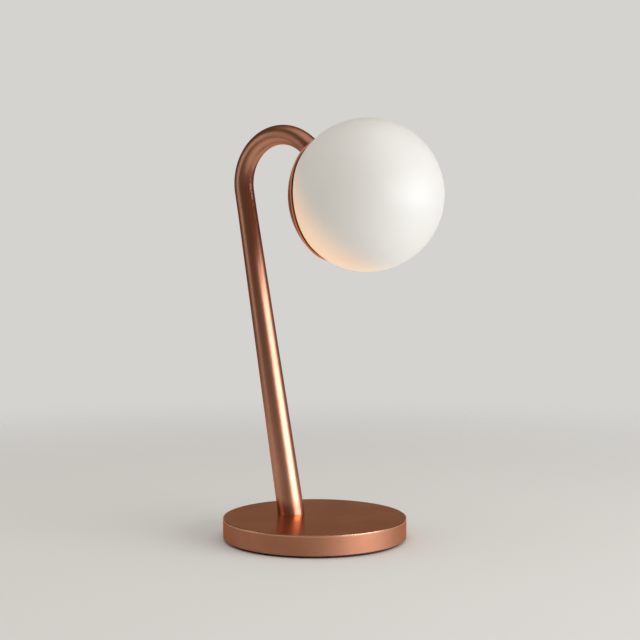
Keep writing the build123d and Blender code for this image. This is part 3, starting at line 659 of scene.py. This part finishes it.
def make_world(colour):
    """Pale all round for the camera. Metal and glass see the pale floor, the pale backdrop behind
    the lamp up to its top edge, and a dim room beside and above it."""
    side_fade = [math.cos(math.radians(angle)) for angle in (30, 18)]       # from straight ahead
    top_fade = [math.sin(math.radians(angle)) for angle in (15, 8)]         # above level
    near_fade = [math.sin(math.radians(angle)) for angle in (-22, -42)]     # below level, on the floor
    dim_room = (0.085, 0.060, 0.032)
    level_light = (0.27, 0.26, 0.245)
    light_from_above = (0.50, 0.485, 0.46)
    world = bpy.data.worlds.new("studio_room")
    bpy.context.scene.world = world
    world.use_nodes = True
    world.node_tree.nodes.clear()
    sheet = NodeSheet(world.node_tree)
    direction = sheet.add("ShaderNodeTexCoord").outputs["Generated"]
    height = sheet.add("ShaderNodeSeparateXYZ", Vector=direction).outputs["Z"]
    ahead = sheet.vector_math("DOT_PRODUCT", direction, view_level)["Value"]
    behind_lamp = sheet.math("MULTIPLY", sheet.ramp(ahead, *side_fade), sheet.ramp(height, *top_fade))
    backdrop = sheet.math("MAXIMUM", behind_lamp, sheet.ramp(height, *near_fade))
    path = sheet.add("ShaderNodeLightPath").outputs
    pale = sheet.math("MAXIMUM", path["Is Camera Ray"], backdrop)
    shiny = sheet.math("MAXIMUM", path["Is Glossy Ray"], path["Is Transmission Ray"])
    shown = sheet.math("MAXIMUM", path["Is Camera Ray"], shiny)
    room = sheet.mix(pale, dim_room, colour)
    light = sheet.mix(sheet.ramp(height, 0.0, 1.0), level_light, light_from_above)
    background = sheet.add("ShaderNodeBackground", Color=sheet.mix(shown, light, room), Strength=1.0)
    output = sheet.add("ShaderNodeOutputWorld")
    sheet.feed(output.inputs["Surface"], background.outputs[0])


def make_floor(colour):
    """Round floor that fades into the backdrop. It is open under the pad, and not seen from below."""
    bm = bmesh.new()
    bmesh.ops.create_circle(bm, cap_ends=True, segments=floor_segments, radius=floor_radius)
    material, sheet, shader = new_material("pale_floor")
    shader.inputs["Base Color"].default_value = (*colour, 1)
    shader.inputs["Roughness"].default_value = 1.0
    shader.inputs["Specular IOR Level"].default_value = 0.15
    place = sheet.add("ShaderNodeTexCoord").outputs["Object"]
    reach = sheet.vector_math("LENGTH", place)["Value"]
    above = sheet.math("SUBTRACT", 1.0, sheet.add("ShaderNodeNewGeometry").outputs["Backfacing"])
    ring = sheet.math("MULTIPLY", sheet.ramp(reach, *floor_fade), sheet.ramp(reach, *floor_opening))
    sheet.feed(shader.inputs["Alpha"], sheet.math("MULTIPLY", above, ring))
    floor = mesh_object("floor", bm, material)


def add_softbox(name, side, height, distance, size, radiance, colour=(1, 1, 1)):
    """Soft rectangular lamp round the foot. Side is its angle from the camera, positive to the right."""
    turn = math.radians(side)
    outward = view_right * math.sin(turn) - view_level * math.cos(turn)
    place = outward * distance + Vector((0, 0, height))
    data = bpy.data.lights.new(name, "AREA")
    data.shape = "RECTANGLE"
    data.size, data.size_y = size
    data.energy = radiance * size[0] * size[1] * math.pi
    data.color = colour
    lamp = new_object(name, data)
    lamp.location = place
    lamp.rotation_mode = "QUATERNION"
    lamp.rotation_quaternion = (softbox_target - place).to_track_quat("-Z", "Y")
    lamp.visible_camera = False


def add_camera():
    data = bpy.data.cameras.new("camera")
    data.lens = camera_lens
    data.sensor_width = camera_sensor
    camera = new_object("camera", data)
    camera.location = camera_place
    camera.rotation_mode = "QUATERNION"
    camera.rotation_quaternion = view_forward.to_track_quat("-Z", "Y")
    bpy.context.scene.camera = camera


class LAMP_OT_studio(bpy.types.Operator):
    """Pale floor and backdrop, soft lamps and the camera"""
    bl_idname = "lamp.studio"
    bl_label = "Studio"

    def execute(self, context):
        colours = context.scene.lamp_colours
        context.scene.view_settings.view_transform = "Standard"
        make_world(colours.backdrop)
        make_floor(colours.floor)
        add_softbox("key", side=62, height=0.46, distance=1.8, size=(2.07, 0.86), radiance=3.7)
        add_softbox(
            "low_bar", side=64, height=0.115, distance=1.8, size=(1.42, 0.22), radiance=9.5,
            colour=(0.88, 1.0, 1.12))
        add_softbox("fill", side=-84, height=0.42, distance=1.1, size=(0.5, 0.8), radiance=0.8)
        add_softbox("overhead", side=20, height=1.5, distance=0.25, size=(1.5, 1.5), radiance=0.6)
        add_camera()
        return {"FINISHED"}


# ---------------------------------------------------------------- the lamp's pieces

class LAMP_OT_foot(bpy.types.Operator):
    """Copper cover, iron weight, bottom plate with its screws, pad and cord grommet"""
    bl_idname = "lamp.foot"
    bl_label = "Foot"

    def execute(self, context):
        dress(foot_copper(), "base_shell")
        dress(cell_rubber(), "foot_pad")
        dress(cast_iron(), "base_weight")
        dress(bright_zinc(), "bottom_plate", "bottom_plate_screws")
        inlet_rubber = moulded("inlet_rubber", (0.030, 0.022, 0.018), roughness=0.62, relief=0.4, gloss=0.35)
        dress(inlet_rubber, "cord_grommet")
        return {"FINISHED"}


class LAMP_OT_terminals(bpy.types.Operator):
    """Terminal strip with its clamps and screws, and the earth lug on the weight"""
    bl_idname = "lamp.terminals"
    bl_label = "Terminals"

    def execute(self, context):
        dress(moulded("strip_plastic", (0.78, 0.78, 0.74), roughness=0.45), "terminal_block")
        dress(turned_brass(), "terminal_clamps")
        dress(bright_zinc(), "terminal_screws", "terminal_fixing_screws", "earth_lug", "earth_screw")
        return {"FINISHED"}


def grow_stem(sizes, foot, upward):
    """Outer skin of the stem: up the taper from inside the cover, over in one arc, along the neck."""
    lean = sizes.stem_lean
    taper_length = sizes.stem_length - sizes.stem_plain
    slope = (sizes.stem_radius - sizes.stem_foot_radius) / taper_length
    radius = sizes.stem_foot_radius - slope * foot_overrun
    start = Matrix.Translation(foot - upward * foot_overrun) @ Matrix.Rotation(-lean, 4, "Y")
    bm = bmesh.new()
    bmesh.ops.create_circle(bm, segments=ring_segments, radius=radius, matrix=start)
    edges = bm.edges[:]
    step = (taper_length + foot_overrun) / taper_steps
    for _ in range(taper_steps):
        edges = grow_ring(bm, edges, upward * step, radius + slope * step, radius)
        radius += slope * step
    edges = grow_ring(bm, edges, upward * sizes.stem_plain, radius, radius)
    toward_centre = Vector((math.cos(lean), 0, math.sin(lean)))
    arc_centre = foot + upward * sizes.stem_length + toward_centre * sizes.arch_radius
    arc_angle = math.pi / 2 + lean + sizes.head_dip
    turned = bmesh.ops.spin(
        bm, geom=edges, cent=arc_centre, axis=(0, 1, 0), angle=arc_angle, steps=arc_steps)["geom_last"]
    edges = [item for item in turned if isinstance(item, bmesh.types.BMEdge)]
    along = Vector((math.cos(sizes.head_dip), 0, -math.sin(sizes.head_dip)))
    neck = sizes.neck_length + sizes.dish_wall
    grow_ring(bm, edges, along * neck, radius, radius)
    return bm


class LAMP_OT_stem(bpy.types.Operator):
    """Tapered copper tube, bent over in one arc, and the plug, rod, washers and nut in its foot"""
    bl_idname = "lamp.stem"
    bl_label = "Stem"

    def execute(self, context):
        sizes = context.scene.lamp_sizes
        foot = Vector((sizes.stem_foot_x, 0, cover_top))
        upward = Vector((-math.sin(sizes.stem_lean), 0, math.cos(sizes.stem_lean)))
        bm = grow_stem(sizes, foot, upward)
        keep_front(bm, foot, Vector((0, 0, 1)))
        thicken(bm, sizes.stem_wall)
        round_sharp_edges(bm, hairline, segments=2)
        middle = foot + upward * (sizes.stem_length / 2)
        # the foot of the stem is brightened: partly from handling, partly a painted highlight
        foot_rub_and_highlight_band = (sizes.stem_foot_radius, -sizes.stem_length / 2, foot_rub_and_highlight)
        copper, _, _ = satin_copper("stem_copper", foot_rub_and_highlight_band, middle, (0, -sizes.stem_lean, 0))
        new_piece("stem_tube", bm, copper, "stand", "copper", "stem")
        dress(bright_zinc(), "foot_insert", "foot_washer", "foot_lock_washer", "foot_nut")
        dress(turned_brass(), "foot_nipple")
        return {"FINISHED"}


class LAMP_OT_wiring(bpy.types.Operator):
    """Wires from the terminals to the lampholder and to earth, and the bush in the neck"""
    bl_idname = "lamp.wiring"
    bl_label = "Wiring"

    def execute(self, context):
        dress(moulded("brown_sheath", (0.16, 0.060, 0.025), roughness=0.30, relief=0.15), "live_wire")
        dress(moulded("blue_sheath", (0.03, 0.12, 0.42), roughness=0.30, relief=0.15), "neutral_wire")
        dress(striped_green(), "earth_wire")
        dress(moulded("bush_plastic", (0.045, 0.045, 0.045), roughness=0.50), "wire_bush")
        return {"FINISHED"}


class LAMP_OT_dish(bpy.types.Operator):
    """Thin copper dish behind the globe"""
    bl_idname = "lamp.dish"
    bl_label = "Dish"

    def execute(self, context):
        angle = context.scene.lamp_sizes.dish_angle
        # the dish's rim is brightened: partly from handling, partly a painted highlight
        rim = (dish_radius * math.sin(angle), -dish_radius * math.cos(angle), rim_rub_and_highlight)
        copper, _, _ = satin_copper("dish_copper", rim, globe_centre, head_turn)
        dress(copper, "head_dish")
        return {"FINISHED"}


class LAMP_OT_carrier(bpy.types.Operator):
    """White carrier plate with its threaded skirt, pillars, and the lampholder's bracket"""
    bl_idname = "lamp.carrier"
    bl_label = "Carrier"

    def execute(self, context):
        dress(white_enamel(), "carrier_plate")
        dress(
            bright_zinc(), "carrier_pillars", "carrier_screws", "holder_bracket", "bracket_screws",
            "bracket_nuts")
        return {"FINISHED"}


class LAMP_OT_lampholder(bpy.types.Operator):
    """Ceramic two-pin lampholder with its contacts"""
    bl_idname = "lamp.lampholder"
    bl_label = "Lampholder"

    def execute(self, context):
        dress(steatite(), "lampholder")
        dress(stamped_bronze(), "lampholder_contacts")
        return {"FINISHED"}


class LAMP_OT_bulb(bpy.types.Operator):
    """Plug-in LED bulb"""
    bl_idname = "lamp.bulb"
    bl_label = "Bulb"

    def execute(self, context):
        dress(moulded("bulb_plastic", (0.82, 0.82, 0.80), roughness=0.35, relief=0.2), "bulb_base")
        dress(bright_zinc(), "bulb_pins")
        dress(frosted_plastic(), "bulb_cover")
        dress(led_board(), "bulb_board")
        dress(phosphor_gel(), "bulb_leds")
        return {"FINISHED"}


class LAMP_OT_globe(bpy.types.Operator):
    """Opal glass globe with its fire-polished mouth, threaded ring, bond and seal"""
    bl_idname = "lamp.globe"
    bl_label = "Globe"

    def execute(self, context):
        sizes = context.scene.lamp_sizes
        bm = bmesh.new()
        bmesh.ops.create_uvsphere(
            bm, u_segments=globe_segments, v_segments=globe_rings, radius=globe_radius, matrix=head_place)
        mouth = globe_centre - globe_axis * (globe_radius * math.cos(sizes.mouth_angle))
        keep_front(bm, mouth, globe_axis)
        thicken(bm, sizes.glass_wall)
        round_sharp_edges(bm, sizes.glass_edge, segments=3)
        new_piece("globe_glass", bm, opal_glass(), "globe", "opal_glass", "globe")
        dress(turned_aluminium(), "globe_ring")
        dress(silicone(), "globe_bond", "globe_seal")
        return {"FINISHED"}


# ---------------------------------------------------------------- add-on

operators = (
    LAMP_OT_studio, LAMP_OT_foot, LAMP_OT_terminals, LAMP_OT_stem, LAMP_OT_wiring, LAMP_OT_dish,
    LAMP_OT_carrier, LAMP_OT_lampholder, LAMP_OT_bulb, LAMP_OT_globe,
)


class LAMP_PT_panel(bpy.types.Panel):
    """Lists the lamp's sizes, colours and pieces in the 3D view's sidebar"""
    bl_idname = "LAMP_PT_panel"
    bl_label = "Table lamp"
    bl_space_type = "VIEW_3D"
    bl_region_type = "UI"
    bl_category = "Table lamp"

    def draw(self, context):
        for values in (context.scene.lamp_sizes, context.scene.lamp_colours):
            for name in type(values).__annotations__:
                self.layout.prop(values, name)
        for operator in operators:
            self.layout.operator(operator.bl_idname)


classes = (LampSizes, LampColours, *operators, LAMP_PT_panel)


def register():
    for cls in classes:
        bpy.utils.register_class(cls)
    bpy.types.Scene.lamp_sizes = PointerProperty(type=LampSizes)
    bpy.types.Scene.lamp_colours = PointerProperty(type=LampColours)


def unregister():
    del bpy.types.Scene.lamp_colours
    del bpy.types.Scene.lamp_sizes
    for cls in reversed(classes):
        bpy.utils.unregister_class(cls)


def main():
    register()
    bpy.ops.lamp.studio()
    bpy.ops.lamp.foot()
    bpy.ops.lamp.terminals()
    bpy.ops.lamp.stem()
    bpy.ops.lamp.wiring()
    bpy.ops.lamp.dish()
    bpy.ops.lamp.carrier()
    bpy.ops.lamp.lampholder()
    bpy.ops.lamp.bulb()
    bpy.ops.lamp.globe()


if __name__ == "__main__":
    main()
